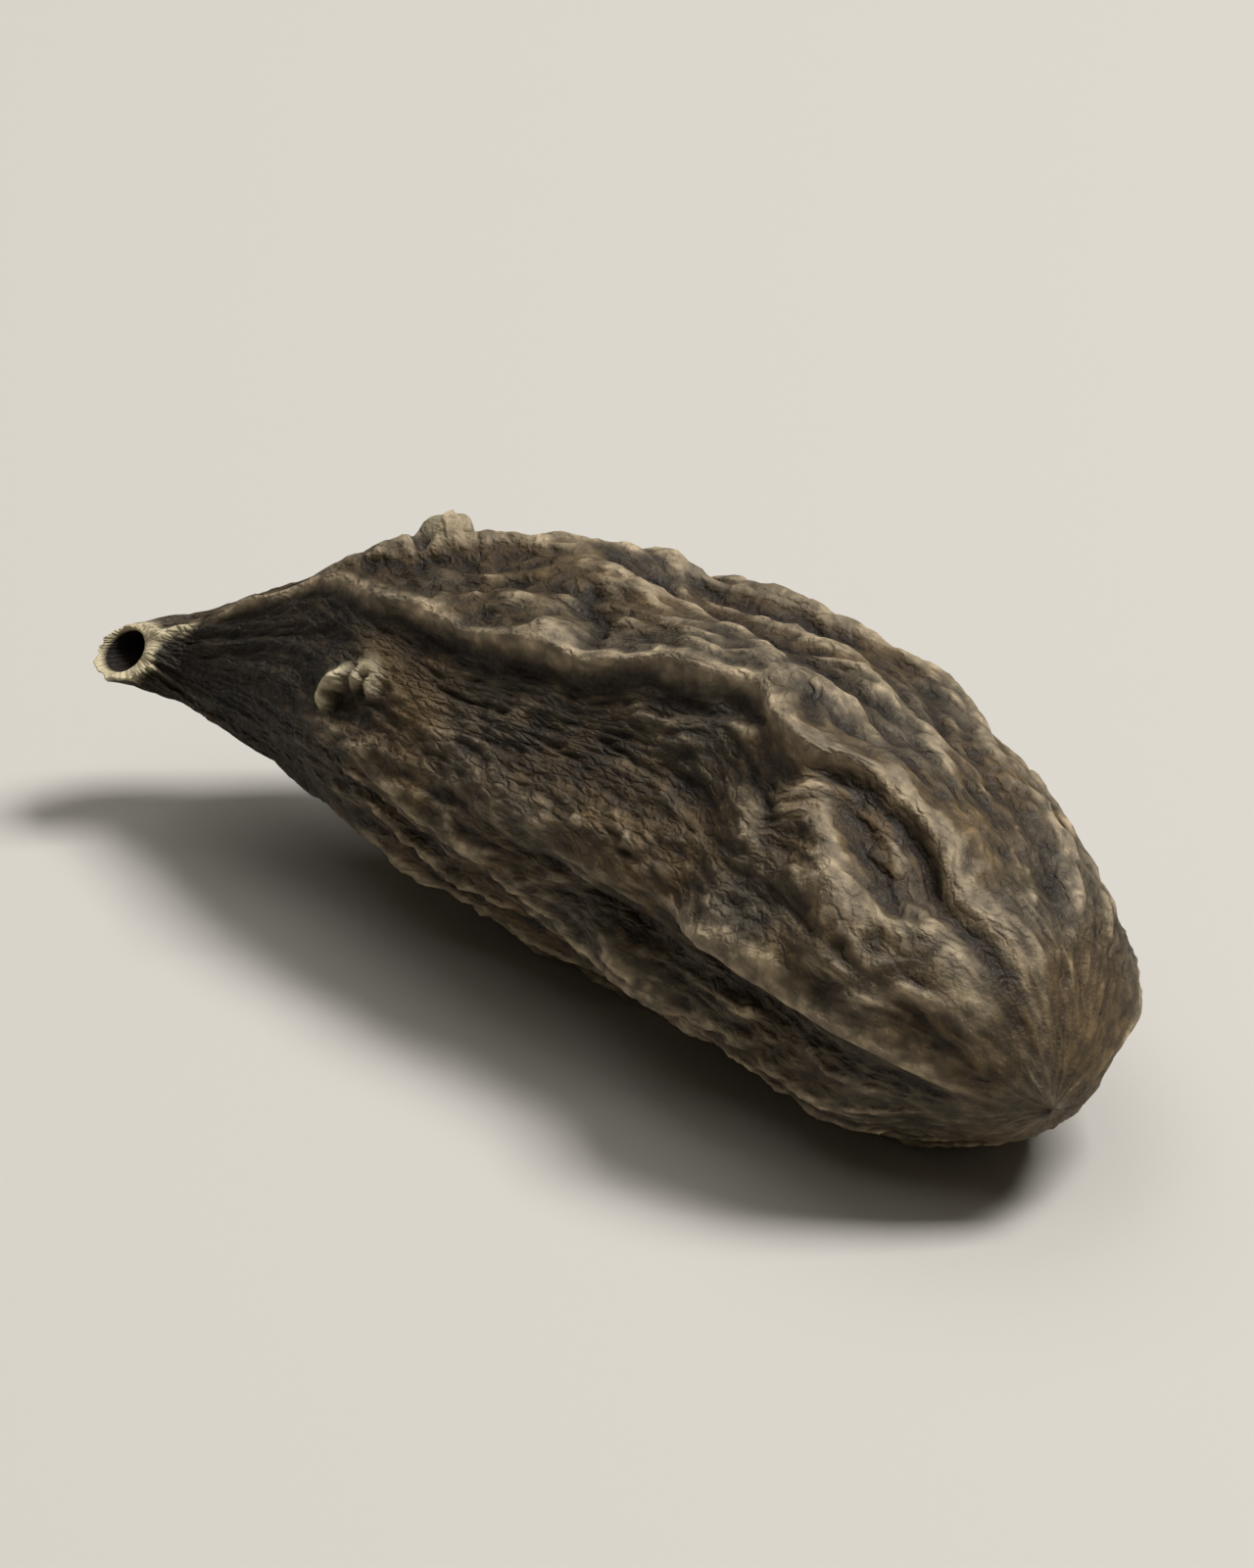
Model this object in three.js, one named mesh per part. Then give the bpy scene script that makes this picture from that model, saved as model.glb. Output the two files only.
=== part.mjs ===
// A whole dried caper berry lying on its side, in millimetres, +Z up. The stalk end points to -X and the
// broad end to +X. The skin has shrunk on the flesh into long folds, steep on their lower side, with sunken
// faces between them. The stalk has snapped off short and left a hollow ring. The origin is under the middle
// of the berry, on the surface that it lies on.
import * as THREE from "three";

// Driving dimensions, in millimetres. A station is a share of the length, 0 at the stalk end and 1 at the
// broad end. Each bend is how far the middle line would sag over a whole length from its station.
const LENGTH = 31;
const GIRTH_RADIUS = 4.95;
const THICKEST_STATION = 0.57;
const SIDE_BEND = 11.1;
const SIDE_BEND_STATION = 0.28;
const DROOP = 4.9;
const DROOP_STATION = 0.43;

// The snapped stalk: a short ring with a hollow, on a neck that swells to the girth. It curls towards the
// front and up, and back over the neck: how far its end is moved from the middle line.
const STALK_STATION = 0.08;
const STALK_CURL = { back: 0.67, front: 1.1, up: 0.75 };
const RIM_RADIUS = 0.78;
const NECK_RADIUS = 1.1;
const NECK_STATION = 0.045;
const BORE_RADIUS = 0.45;
const BORE_DEPTH = 0.9;

// It broke off at a slant, so that its upper side is shorter, by this much either way at the end.
const BREAK_SLANT = 0.4;
const BREAK_DEGREES = 90;
const BREAK_STATION = 0.05;

// Roundness of the broad end: a larger power is blunter.
const END_POWER = 2.12;

// The berry is a little wider than high, because it dried lying down.
const WIDER = 1.07;

// Depth of the flat spot that it rests on.
const RESTING_DEPTH = 0.45;

// How finely the surface is cut: columns round the berry, rows along the fruit and down the hollow, and the
// steps in which the outline is measured to space the rows.
const AROUND = 92;
const BODY_ROWS = 58;
const BORE_ROWS = 2;
const OUTLINE_STEPS = 2000;

// The columns near the top sway with the long crest: their mean angle, and how far round the sway reaches.
const CREST_DEGREES = 80;
const CREST_REACH_DEGREES = 35;

// Angles round the girth are in degrees: 0 faces -Y, 90 is the top, 180 faces +Y and 270 is the underside.
// A fold's crest runs through the angles of its path, a list of [station, degrees]. It is so many millimetres
// high, its flanks reach so far above and below the crest, and it fades over the first and last FADE_RUN of
// its path, or a third of a short one.
const FADE_RUN = 0.08;
const CREST_ROUNDNESS = 0.3;
const SLIMMEST_FOLD_RADIUS = 3.2;
const RELIEF_POWER = 0.8;
const LONG_CREST = [
  [0.05, 70], [0.13, 77], [0.18, 84], [0.28, 70], [0.38, 63], [0.5, 66], [0.58, 76], [0.65, 81], [0.74, 74],
  [0.79, 83], [0.85, 85], [0.9, 80], [0.95, 90], [1, 92],
];
const LOW_CREST = [[0.42, 18], [0.54, 13], [0.62, 15], [0.7, 20], [0.8, 21], [0.92, 21], [1, 10]];
const FOLDS = [
  // The long crest over the sunken front face, and the edge of the right lobe, where it goes on.
  { height: 1.0, above: 2.2, below: 1.3, path: LONG_CREST.slice(0, 9) },
  { height: 1.0, above: 1.6, below: 0.7, path: [[0.64, 81], ...LONG_CREST.slice(8)] },
  // A second lip behind the long crest, and a notch that cuts into it.
  { height: 0.35, above: 0.6, below: 0.4, path: [[0.36, 77], [0.42, 73], [0.49, 66]] },
  { height: -0.4, above: 0.35, below: 0.35, path: [[0.42, 91], [0.46, 84], [0.51, 70]] },
  // The ridges on the roof.
  {
    height: 0.6, above: 0.7, below: 0.6,
    path: [[0.33, 108], [0.4, 103], [0.5, 97], [0.6, 86], [0.7, 88], [0.8, 92]],
  },
  { height: 0.4, above: 0.6, below: 0.6, path: [[0.48, 114], [0.6, 112], [0.7, 106], [0.84, 108]] },
  {
    height: 0.95, above: 1.3, below: 1.0,
    path: [[0.16, 94], [0.3, 106], [0.5, 127], [0.65, 132], [0.84, 130], [0.97, 136]],
  },
  { height: 0.25, above: 0.8, below: 0.6, path: [[0.66, 104], [0.8, 102], [0.9, 106], [0.98, 110]] },
  // The lobes of the broad end below the long crest.
  {
    height: 0.9, above: 1.0, below: 1.1,
    path: [[0.66, 70], [0.73, 70], [0.77, 68], [0.83, 58], [0.87, 54], [0.93, 66], [1, 63]],
  },
  { height: 0.5, above: 0.7, below: 0.5, path: [[0.66, 65], [0.71, 53], [0.77, 48], [0.84, 49], [0.9, 48]] },
  { height: 0.8, above: 0.9, below: 0.3, path: [[0.8, 41], [0.88, 39], [0.91, 40], [0.95, 51], [1, 45]] },
  { height: 0.35, above: 0.4, below: 0.3, path: [[0.88, 31], [0.96, 44], [1, 36]] },
  // The low crest under the front, sharper and steeper below the lobes.
  { height: 0.35, above: 1.1, below: 0.5, path: LOW_CREST },
  { height: 1.0, above: 1.8, below: 0.35, path: LOW_CREST.slice(3) },
  // The low ridge that runs down from the scar, and the front below the low crest.
  { height: 0.3, above: 0.6, below: 0.4, path: [[0.22, 58], [0.29, 49], [0.35, 34], [0.43, 24]] },
  { height: 0.4, above: 0.8, below: 0.8, path: [[0.6, -8], [0.78, -4], [0.94, -6]] },
  {
    height: 0.8, above: 1.2, below: 0.8,
    path: [[0.12, 20], [0.3, 12], [0.46, 0], [0.6, -16], [0.8, -24], [0.98, -20]],
  },
  { height: 0.6, above: 1.1, below: 0.8, path: [[0.2, -28], [0.5, -40], [0.8, -42], [0.95, -34]] },
  // The underside and the back.
  { height: 0.6, above: 1.2, below: 1.2, path: [[0.16, 284], [0.45, 290], [0.7, 282], [0.96, 290]] },
  { height: 0.8, above: 0.9, below: 1.2, path: [[0.1, 246], [0.4, 252], [0.62, 242], [0.97, 236]] },
  { height: 0.7, above: 0.7, below: 1.1, path: [[0.2, 222], [0.42, 214], [0.7, 220], [0.9, 206]] },
  {
    height: 1.1, above: 0.6, below: 1.4,
    path: [[0.08, 196], [0.3, 188], [0.52, 194], [0.76, 184], [1, 178]],
  },
  { height: 0.7, above: 0.9, below: 0.9, path: [[0.3, 160], [0.48, 166], [0.66, 160], [0.82, 168]] },
];

// Sunken and raised spots: station and angle of the middle, half lengths along and round the berry, and
// height, which is negative where the skin is sunken.
const SPOTS = [
  // The sunken front face.
  { station: 0.33, degrees: 48, along: 6.5, round: 1.9, height: -0.6 },
  { station: 0.56, degrees: 51, along: 3.4, round: 1.7, height: -0.6 },
  // The pit between two lobes of the broad end, and the valleys of the roof.
  { station: 0.85, degrees: 66, along: 1.3, round: 0.5, height: -0.15 },
  { station: 0.38, degrees: 86, along: 3.2, round: 0.9, height: -0.15 },
  { station: 0.52, degrees: 110, along: 2.8, round: 1.6, height: -0.8 },
  { station: 0.78, degrees: 98, along: 4.0, round: 0.9, height: -0.15 },
  // The back, the underside and the front.
  { station: 0.55, degrees: 172, along: 6.0, round: 1.4, height: -0.7 },
  { station: 0.4, degrees: 233, along: 5.0, round: 1.6, height: -0.6 },
  { station: 0.7, degrees: 228, along: 4.0, round: 1.5, height: -0.5 },
  { station: 0.7, degrees: 3, along: 6.0, round: 1.0, height: -0.6 },
  { station: 0.64, degrees: -34, along: 10.0, round: 3.2, height: -1.1 },
  // A curled scar on the sunken face, and a nub on the roof.
  { station: 0.257, degrees: 36, along: 0.9, round: 0.6, height: 0.5 },
  { station: 0.262, degrees: 107, along: 0.7, round: 0.6, height: 0.7 },
];

// Lesser folds all over the skin: how many lie round the girth, their height, how far they sway, how often
// they sway along the berry, and where they start. LESSER_VALLEY is the share of their height above the mean
// skin. The sway has a second, quicker wave, and their strength comes and goes. The lobes are how often each
// wave turns over in going once round the girth. They are lower by the share given as the height of the calm
// spots, and towards the broad end's tip.
const LESSER_VALLEY = 0.65;
const LESSER_ROUNDNESS = 0.2;
const LESSER_FOLDS = [
  { count: 11, height: 0.35, sway: 0.9, waves: 1.6, phase: 0.9 },
  { count: 18, height: 0.45, sway: 1.3, waves: 2.3, phase: 1.4 },
];
const CALM_SPOTS = [
  { station: 0.42, degrees: 38, along: 9.0, round: 3.6, height: -0.85 },
  { station: 0.84, degrees: 52, along: 5.0, round: 3.6, height: -0.6 },
];
const TIP_STATION = 0.88;
const TIP_CALM = 0.8;
const SWAY_LOBES = 2;
const SECOND_SWAY = { share: 0.5, rate: 1.7, lobes: 3 };
const STRENGTH = { mean: 0.6, swing: 0.4, rate: 1.3, lobes: 4 };

// The main folds die away, by so large a share, over the last stretch of the broad end.
const TIP_FADE_STATION = 0.93;
const TIP_FADE = 0.9;

const { degToRad: radians, smoothstep, lerp } = THREE.MathUtils;

// The middle line bends to the side towards the broad end, both ends droop, and the stalk curls.
function middleLine(station) {
  const curl = Math.max(0, 1 - station / STALK_STATION);
  return new THREE.Vector3(
    LENGTH * (station - 0.5) + STALK_CURL.back * curl ** 3,
    -SIDE_BEND * (station - SIDE_BEND_STATION) ** 2 - STALK_CURL.front * curl ** 2,
    -DROOP * (station - DROOP_STATION) ** 2 + STALK_CURL.up * curl ** 2,
  );
}

// Direction of the middle line, which is the slope of its bends.
function heading(station) {
  const curl = Math.max(0, 1 - station / STALK_STATION);
  return new THREE.Vector3(
    LENGTH - (3 * STALK_CURL.back * curl ** 2) / STALK_STATION,
    -2 * SIDE_BEND * (station - SIDE_BEND_STATION) + (2 * STALK_CURL.front * curl) / STALK_STATION,
    -2 * DROOP * (station - DROOP_STATION) - (2 * STALK_CURL.up * curl) / STALK_STATION,
  ).normalize();
}

// Mean radius of the fruit at a station: the rim of the stalk, a neck that swells to the girth, then a
// blunt end.
function meanRadius(station) {
  if (station < NECK_STATION) return lerp(RIM_RADIUS, NECK_RADIUS, smoothstep(station, 0, NECK_STATION));
  if (station < THICKEST_STATION) {
    const share = (station - NECK_STATION) / (THICKEST_STATION - NECK_STATION);
    return lerp(NECK_RADIUS, GIRTH_RADIUS, Math.sin((share * Math.PI) / 2));
  }
  const share = (station - THICKEST_STATION) / (1 - THICKEST_STATION);
  return GIRTH_RADIUS * (1 - share ** END_POWER) ** (1 / END_POWER);
}

// Angle of a path at a station, with a smooth step from each of its points to the next.
function angleOf(path, station) {
  let degrees = path[0][1];
  for (let i = 1; i < path.length; i++) {
    const [from, before] = path[i - 1];
    const [to, after] = path[i];
    degrees += (after - before) * smoothstep(station, from, to);
  }
  return degrees;
}

// The shorter way round from one angle in degrees to another.
function turn(from, to) {
  return ((((to - from + 180) % 360) + 360) % 360) - 180;
}

// Height of a fold at a station and an angle. A fold that reaches the broad end doesn't fade there.
function foldHeight({ path, height, above, below }, station, degrees, radius) {
  const [start, end] = [path[0][0], path.at(-1)[0]];
  if (station <= start || station >= end) return 0;
  const away = radians(turn(angleOf(path, station), degrees)) * Math.max(radius, SLIMMEST_FOLD_RADIUS);
  const fall = (Math.hypot(away, CREST_ROUNDNESS) - CREST_ROUNDNESS) / (away > 0 ? above : below);
  const run = Math.min(FADE_RUN, (end - start) / 3);
  const rise = smoothstep(station, start, start + run);
  const fade = end < 1 ? 1 - smoothstep(station, end - run, end) : 1;
  return height * rise * fade * Math.exp(-fall);
}

function spotHeight(spot, station, degrees, radius) {
  const along = ((station - spot.station) * LENGTH) / spot.along;
  const round = (radians(turn(spot.degrees, degrees)) * radius) / spot.round;
  return spot.height * Math.exp(-(along ** 2 + round ** 2));
}

// Lesser folds have sharp crests and round valleys, and sway as they run along the berry.
function lesserHeight({ count, height, sway, waves, phase }, station, degrees) {
  const turns = 2 * Math.PI * waves * station + phase;
  const round = radians(degrees);
  const first = Math.sin(turns + SWAY_LOBES * round);
  const second = Math.sin(SECOND_SWAY.rate * turns - SECOND_SWAY.lobes * round);
  const shift = sway * (first + SECOND_SWAY.share * second);
  const strength = STRENGTH.mean + STRENGTH.swing * Math.sin(STRENGTH.rate * turns + STRENGTH.lobes * round);
  const wave = Math.sin((count * round) / 2 + shift);
  return height * strength * (LESSER_VALLEY - Math.hypot(wave, LESSER_ROUNDNESS));
}

// Distance of the skin from the middle line. The relief is lower where the berry is slim.
function skinRadius(station, degrees) {
  const radius = meanRadius(station);
  let relief = 0;
  for (const fold of FOLDS) relief += foldHeight(fold, station, degrees, radius);
  relief *= 1 - TIP_FADE * smoothstep(station, TIP_FADE_STATION, 1);
  for (const spot of SPOTS) relief += spotHeight(spot, station, degrees, radius);
  let strength = 1 - TIP_CALM * smoothstep(station, TIP_STATION, 1);
  for (const spot of CALM_SPOTS) strength *= 1 + spotHeight(spot, station, degrees, radius);
  for (const lesser of LESSER_FOLDS) relief += strength * lesserHeight(lesser, station, degrees);
  return radius + relief * (radius / GIRTH_RADIUS) ** RELIEF_POWER;
}

// Stations of the rows, an even distance apart along the outline of the fruit.
function bodyStations() {
  const run = [0];
  for (let i = 1; i <= OUTLINE_STEPS; i++) {
    const rise = meanRadius(i / OUTLINE_STEPS) - meanRadius((i - 1) / OUTLINE_STEPS);
    run.push(run[i - 1] + Math.hypot(LENGTH / OUTLINE_STEPS, rise));
  }
  const stations = [];
  for (let row = 0, i = 0; row < BODY_ROWS; row++) {
    while (run[i] < (run[OUTLINE_STEPS] * row) / BODY_ROWS) i++;
    stations.push(i / OUTLINE_STEPS);
  }
  return stations;
}

// A point at a station, an angle and a distance from the middle line. The break's slant moves those near the
// stalk's end along it.
function pointAt(evenStation, degrees, radius) {
  const near = Math.max(0, 1 - evenStation / BREAK_STATION) * Math.min(radius / RIM_RADIUS, 1);
  const slant = (BREAK_SLANT / LENGTH) * near * Math.cos(radians(degrees - BREAK_DEGREES));
  const station = evenStation + slant;
  const ahead = heading(station);
  const side = new THREE.Vector3().crossVectors(ahead, new THREE.Vector3(0, 0, 1)).normalize();
  const up = new THREE.Vector3().crossVectors(side, ahead);
  return middleLine(station)
    .addScaledVector(side, Math.cos(radians(degrees)) * radius * WIDER)
    .addScaledVector(up, (Math.sin(radians(degrees)) * radius) / WIDER);
}

// Angle of a column at a station. The columns near the top follow the long crest, so that its edge is cut
// cleanly.
function columnDegrees(column, station) {
  const even = (360 * column) / AROUND;
  const reach = turn(CREST_DEGREES, even) / CREST_REACH_DEGREES;
  return even + (angleOf(LONG_CREST, station) - CREST_DEGREES) * Math.exp(-(reach ** 2));
}

// Rings of points from the floor of the stalk's hollow, out over its rim and along the berry to the broad
// end.
function surfaceRings() {
  const rings = [];
  const floor = BORE_DEPTH / LENGTH;
  for (let row = 0; row <= BORE_ROWS; row++) rings.push([floor * (1 - row / BORE_ROWS), () => BORE_RADIUS]);
  for (const station of bodyStations()) rings.push([station, (degrees) => skinRadius(station, degrees)]);
  return rings.map(([station, radiusAt]) =>
    Array.from({ length: AROUND }, (_, column) => {
      const degrees = columnDegrees(column, station);
      return pointAt(station, degrees, radiusAt(degrees));
    }),
  );
}

// Joins the rings and closes both ends with a point.
function closedSurface(rings, first, last) {
  const points = [first, ...rings.flat(), last];
  const faces = [];
  const at = (ring, i) => 1 + ring * AROUND + (i % AROUND);
  const end = rings.length - 1;
  for (let i = 0; i < AROUND; i++) faces.push(0, at(0, i), at(0, i + 1));
  for (let ring = 0; ring < end; ring++)
    for (let i = 0; i < AROUND; i++) {
      faces.push(at(ring, i), at(ring + 1, i), at(ring + 1, i + 1));
      faces.push(at(ring, i), at(ring + 1, i + 1), at(ring, i + 1));
    }
  for (let i = 0; i < AROUND; i++) faces.push(at(end, i + 1), at(end, i), points.length - 1);
  return { points, faces };
}

// The closed surface, cut flat underneath and set on z = 0 with its box centred on the origin.
function berryGeometry() {
  const { points, faces } = closedSurface(surfaceRings(), middleLine(BORE_DEPTH / LENGTH), middleLine(1));
  const lowest = Math.min(...points.map((p) => p.z)) + RESTING_DEPTH;
  for (const p of points) p.z = Math.max(p.z, lowest);
  const box = new THREE.Box3().setFromPoints(points);
  const middle = box.getCenter(new THREE.Vector3());
  const geometry = new THREE.BufferGeometry().setFromPoints(points);
  geometry.setIndex(faces);
  geometry.translate(-middle.x, -middle.y, -box.min.z);
  geometry.computeVertexNormals();
  return geometry;
}

const driedSkin = new THREE.MeshStandardMaterial({ color: 0x5d503c, roughness: 0.8, metalness: 0 });
const berry = new THREE.Mesh(berryGeometry(), driedSkin);
berry.name = "berry";

const part = new THREE.Group();
part.add(berry);

export default part;
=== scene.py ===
# A whole dried caper berry, lying on its side on a pale floor in soft studio light.
import math

import bpy
import numpy as np
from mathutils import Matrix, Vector


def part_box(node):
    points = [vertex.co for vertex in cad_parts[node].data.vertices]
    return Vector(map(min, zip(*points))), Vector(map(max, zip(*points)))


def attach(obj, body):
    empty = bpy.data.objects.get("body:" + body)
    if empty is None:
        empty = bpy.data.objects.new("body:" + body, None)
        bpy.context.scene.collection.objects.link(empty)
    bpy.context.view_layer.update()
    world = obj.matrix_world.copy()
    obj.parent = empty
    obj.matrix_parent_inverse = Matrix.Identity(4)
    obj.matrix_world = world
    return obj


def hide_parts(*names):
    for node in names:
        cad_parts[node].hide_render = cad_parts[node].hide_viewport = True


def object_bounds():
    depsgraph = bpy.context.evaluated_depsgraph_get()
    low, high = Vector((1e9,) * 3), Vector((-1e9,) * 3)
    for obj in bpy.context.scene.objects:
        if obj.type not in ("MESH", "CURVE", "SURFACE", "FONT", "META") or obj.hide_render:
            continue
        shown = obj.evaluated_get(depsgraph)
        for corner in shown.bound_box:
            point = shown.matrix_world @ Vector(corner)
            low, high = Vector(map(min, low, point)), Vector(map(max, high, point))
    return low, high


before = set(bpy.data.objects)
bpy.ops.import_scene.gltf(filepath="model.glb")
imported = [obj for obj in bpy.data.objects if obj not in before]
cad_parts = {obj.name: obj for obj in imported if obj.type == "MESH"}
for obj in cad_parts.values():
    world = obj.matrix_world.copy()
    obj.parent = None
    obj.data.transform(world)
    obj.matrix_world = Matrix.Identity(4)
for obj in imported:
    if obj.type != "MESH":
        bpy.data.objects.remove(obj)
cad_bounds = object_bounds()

MM = 0.001

# The form of the fruit, in millimetres, as in the solid whose place the finished skin takes. A station is a
# share of the length, 0 at the stalk end and 1 at the broad end. Each bend is how far the middle line would
# sag over a whole length from its station.
LENGTH = 31.0
GIRTH_RADIUS = 4.95
THICKEST_STATION = 0.57
SIDE_BEND = 11.1
SIDE_BEND_STATION = 0.28
DROOP = 4.9
DROOP_STATION = 0.43
NECK_RADIUS = 1.1
NECK_STATION = 0.045

# Roundness of the broad end: a larger power is blunter.
END_POWER = 2.12

# The berry is a little wider than high, because it dried lying down. It rests on a flat spot of this depth.
WIDER = 1.07
RESTING_DEPTH = 0.45

# The snapped stalk curls towards the front and up, and back over the neck: how far its end is moved from the
# middle line. It is a ring round a hollow, whose mouth is wider and a little off the ring's middle.
STALK_STATION = 0.08
STALK_CURL = dict(back=0.67, front=1.1, up=0.75)
RIM_RADIUS = 0.78
BORE_RADIUS = 0.45
BORE_DEPTH = 0.9
MOUTH = dict(radius=0.55, shift=0.13, degrees=200.0)

# The ring's lip is rounded, and its height is ragged, with so many teeth round it that come and go. Its pale
# broken edge reaches so far along the skin, and is as ragged.
LIP = dict(bulge=0.08, ragged=0.1, power=0.8)
LIP_TEETH = dict(count=5, lobes=2, phase=1.0)
EDGE_REACH = 0.3
EDGE_RAGGED = 0.2

# It broke off at a slant, so that its upper side is shorter, by this much either way at the end.
BREAK_SLANT = 0.4
BREAK_DEGREES = 90.0
BREAK_STATION = 0.05

# How finely the skin is cut: points round the fruit, rows along it, across the lip and down the hollow, and
# the steps in which the outline is measured to space the rows. The rows are closer together round the scar
# and the nub, and at the tip, where the fruit is slim.
AROUND = 400
BODY_ROWS = 232
LIP_ROWS = 6
BORE_ROWS = 7
OUTLINE_STEPS = 4000
CLOSE = dict(station=0.28, reach=0.06, more=0.9)
TIP_CLOSE = dict(radius=1.0, more=1.5)

# The columns near the top sway with the long crest: their mean angle, and how far round the sway reaches.
CREST_DEGREES = 80.0
CREST_REACH_DEGREES = 35.0

# Angles round the girth are in degrees: 0 faces -Y, 90 is the top, 180 faces +Y and 270 is the underside.
# A fold's crest runs through the angles of its path, a list of (station, degrees). Its flanks reach so far
# above and below the crest, in millimetres, and it fades over the first and last FADE_RUN of its path, or a
# third of a short one. The dry skin's crests are crisp, and lean over a little towards their steeper side.
# The long crest and the nub are a little lower than the solid's, because finer forms are added to them.
FADE_RUN = 0.08
CREST_ROUNDNESS = 0.12
CREST_LEAN = 0.34
CREST_LEAN_REACH = 0.3
SLIMMEST_FOLD_RADIUS = 3.2
RELIEF_POWER = 0.8
LONG_CREST = [
    (0.05, 70), (0.13, 77), (0.18, 84), (0.28, 70), (0.38, 63), (0.5, 66), (0.58, 76), (0.65, 81), (0.74, 74),
    (0.79, 83), (0.85, 85), (0.9, 80), (0.95, 90), (1, 92),
]
LOW_CREST = [(0.42, 18), (0.54, 13), (0.62, 15), (0.7, 20), (0.8, 21), (0.92, 21), (1, 10)]
MIDDLE_LOBE = [(0.66, 70), (0.73, 70), (0.77, 68), (0.83, 58), (0.87, 54), (0.93, 66), (1, 63)]
LOWER_LOBE = [(0.8, 41), (0.88, 39), (0.91, 40), (0.95, 51), (1, 45)]
FOLDS = [
    # The long crest over the sunken front face, and the edge of the right lobe, where it goes on.
    dict(height=0.8, above=2.2, below=1.4, path=LONG_CREST[:9]),
    dict(height=1.0, above=1.6, below=0.7, path=[(0.64, 81)] + LONG_CREST[8:]),
    # A second lip behind the long crest, and a notch that cuts into it.
    dict(height=0.35, above=0.6, below=0.4, path=[(0.36, 77), (0.42, 73), (0.49, 66)]),
    dict(height=-0.4, above=0.35, below=0.35, path=[(0.42, 91), (0.46, 84), (0.51, 70)]),
    # The ridges on the roof.
    dict(
        height=0.6, above=0.7, below=0.6, roundness=0.3,
        path=[(0.33, 108), (0.4, 103), (0.5, 97), (0.6, 86), (0.7, 88), (0.8, 92)],
    ),
    dict(height=0.4, above=0.6, below=0.6, path=[(0.48, 114), (0.6, 112), (0.7, 106), (0.84, 108)]),
    dict(
        height=0.95, above=1.3, below=1.0,
        path=[(0.16, 94), (0.3, 106), (0.5, 127), (0.65, 132), (0.84, 130), (0.97, 136)],
    ),
    dict(height=0.25, above=0.8, below=0.6, path=[(0.66, 104), (0.8, 102), (0.9, 106), (0.98, 110)]),
    # The lobes of the broad end below the long crest.
    dict(height=0.9, above=1.0, below=1.1, roundness=0.3, path=MIDDLE_LOBE),
    dict(height=0.5, above=0.7, below=0.5, path=[(0.66, 65), (0.71, 53), (0.77, 48), (0.84, 49), (0.9, 48)]),
    dict(height=0.8, above=0.9, below=0.3, path=LOWER_LOBE),
    dict(height=0.35, above=0.4, below=0.3, path=[(0.88, 31), (0.96, 44), (1, 36)]),
    # The low crest under the front, sharper and steeper below the lobes.
    dict(height=0.35, above=1.1, below=0.5, path=LOW_CREST),
    dict(height=1.0, above=1.8, below=0.35, path=LOW_CREST[3:]),
    # The low ridge that runs down from the scar, and the front below the low crest.
    dict(height=0.3, above=0.6, below=0.4, path=[(0.22, 58), (0.29, 49), (0.35, 34), (0.43, 24)]),
    dict(height=0.4, above=0.8, below=0.8, path=[(0.6, -8), (0.78, -4), (0.94, -6)]),
    dict(
        height=0.8, above=1.2, below=0.8,
        path=[(0.12, 20), (0.3, 12), (0.46, 0), (0.6, -16), (0.8, -24), (0.98, -20)],
    ),
    dict(height=0.6, above=1.1, below=0.8, path=[(0.2, -28), (0.5, -40), (0.8, -42), (0.95, -34)]),
    # The underside and the back.
    dict(height=0.6, above=1.2, below=1.2, path=[(0.16, 284), (0.45, 290), (0.7, 282), (0.96, 290)]),
    dict(height=0.8, above=0.9, below=1.2, path=[(0.1, 246), (0.4, 252), (0.62, 242), (0.97, 236)]),
    dict(height=0.7, above=0.7, below=1.1, path=[(0.2, 222), (0.42, 214), (0.7, 220), (0.9, 206)]),
    dict(
        height=1.1, above=0.6, below=1.4,
        path=[(0.08, 196), (0.3, 188), (0.52, 194), (0.76, 184), (1, 178)],
    ),
    dict(height=0.7, above=0.9, below=0.9, path=[(0.3, 160), (0.48, 166), (0.66, 160), (0.82, 168)]),
]

# Sunken and raised spots: station and angle of the middle, half lengths along and round the fruit, and
# height, which is negative where the skin is sunken.
SUNKEN_FACE = [
    dict(station=0.33, degrees=48, along=6.5, round=1.9, height=-0.6),
    dict(station=0.56, degrees=51, along=3.4, round=1.7, height=-0.6),
]
SPOTS = SUNKEN_FACE + [
    # The pit between two lobes of the broad end, and the valleys of the roof.
    dict(station=0.85, degrees=66, along=1.3, round=0.5, height=-0.15),
    dict(station=0.38, degrees=86, along=3.2, round=0.9, height=-0.15),
    dict(station=0.52, degrees=110, along=2.8, round=1.6, height=-0.8),
    dict(station=0.78, degrees=98, along=4.0, round=0.9, height=-0.15),
    # The back, the underside and the front.
    dict(station=0.55, degrees=172, along=6.0, round=1.4, height=-0.7),
    dict(station=0.4, degrees=233, along=5.0, round=1.6, height=-0.6),
    dict(station=0.7, degrees=228, along=4.0, round=1.5, height=-0.5),
    dict(station=0.7, degrees=3, along=6.0, round=1.0, height=-0.6),
    dict(station=0.64, degrees=-34, along=10.0, round=3.2, height=-1.1),
    # The swellings under the scar and the nub.
    dict(station=0.257, degrees=36, along=0.9, round=0.6, height=0.5),
    dict(station=0.262, degrees=107, along=0.7, round=0.6, height=0.6),
]

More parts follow.
